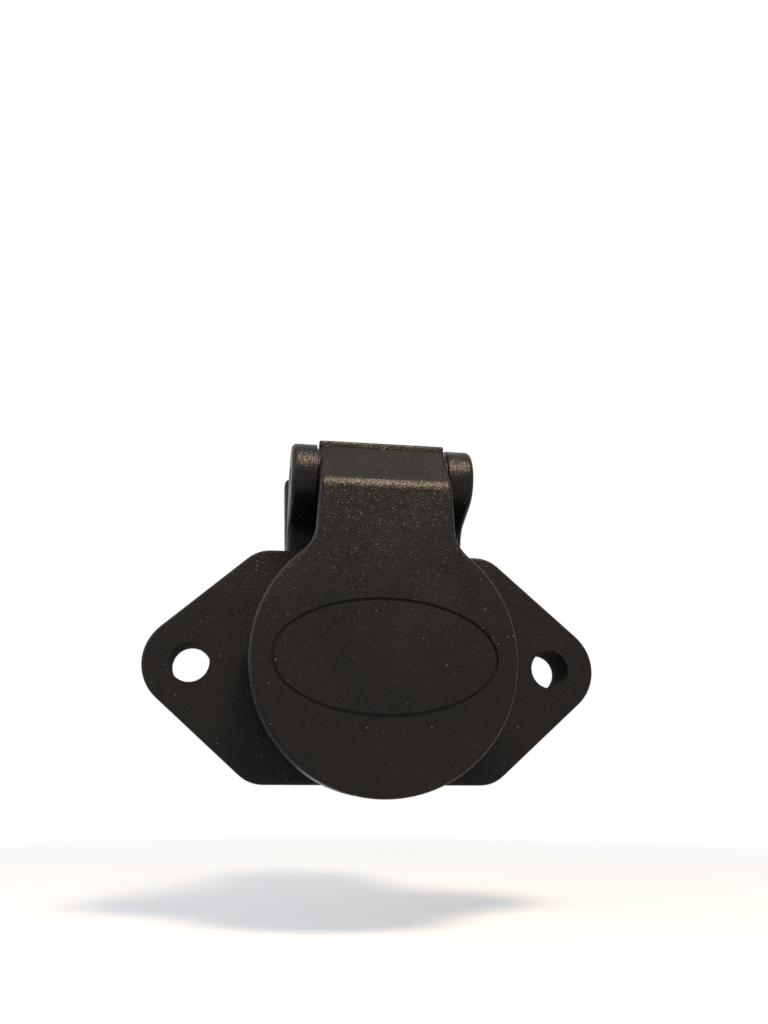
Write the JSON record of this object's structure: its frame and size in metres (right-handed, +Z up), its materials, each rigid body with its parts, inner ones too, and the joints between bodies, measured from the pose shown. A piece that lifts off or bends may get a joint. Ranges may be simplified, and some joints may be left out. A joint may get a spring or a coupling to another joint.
{
  "type": "charging connector",
  "caption": "Panel-mounted charging socket with a rhombic two-hole flange, a round mouth with pins, and a sprung, sealed, hinged lid.",
  "frame": {"origin": "on the socket's axis, on the panel, at the back face of the flange gasket and midway between the screw holes", "axes": "+X right seen from the front, +Y back into the vehicle behind the panel, +Z up towards the hinge; the socket's mouth and lid face -Y"},
  "size_m": [0.0626, 0.0474, 0.0476],
  "materials": {
    "housing_plastic": "fine moulded grain, matte black",
    "lid_plastic": "fine moulded grain, matte black",
    "gasket_rubber": "smooth black rubber",
    "seal_rubber": "smooth dark grey rubber",
    "grommet_rubber": "smooth black rubber",
    "pin_steel": "drawn steel with a black oxide finish",
    "spring_steel": "drawn spring wire",
    "contact_metal": "tin-plated copper alloy",
    "insert_plastic": "plain black plastic",
    "guard_plastic": "plain black plastic",
    "nut_plastic": "fine moulded grain, black"
  },
  "bodies": {
    "socket": {"front_housing": "housing_plastic", "flange_gasket": "gasket_rubber", "hinge_pin": "pin_steel", "lid_spring": "spring_steel", "mouth_seal": "seal_rubber", "contact_carrier": "insert_plastic", "contact_lock": "insert_plastic", "power_contact_left": "contact_metal", "power_contact_right": "contact_metal", "power_guard_left": "guard_plastic", "power_guard_right": "guard_plastic", "earth_contact": "contact_metal", "signal_contact_1": "contact_metal", "signal_contact_2": "contact_metal", "signal_contact_3": "contact_metal", "signal_contact_4": "contact_metal", "signal_contact_5": "contact_metal", "wire_grommet": "grommet_rubber", "grommet_follower": "insert_plastic", "tail_nut": "nut_plastic"},
    "lid": {"lid": "lid_plastic", "lid_seal": "seal_rubber"}
  },
  "joints": [
    {"name": "lid_hinge", "type": "hinge", "parent": "socket", "child": "lid", "pos_m": [0, -0.01115, 0.0255], "axis": [-1, 0, 0], "range_deg": [0, 110], "stiffness_Nm_per_rad": 0.01, "springref_deg": -80.21, "deforming": ["lid_spring"]}
  ]
}
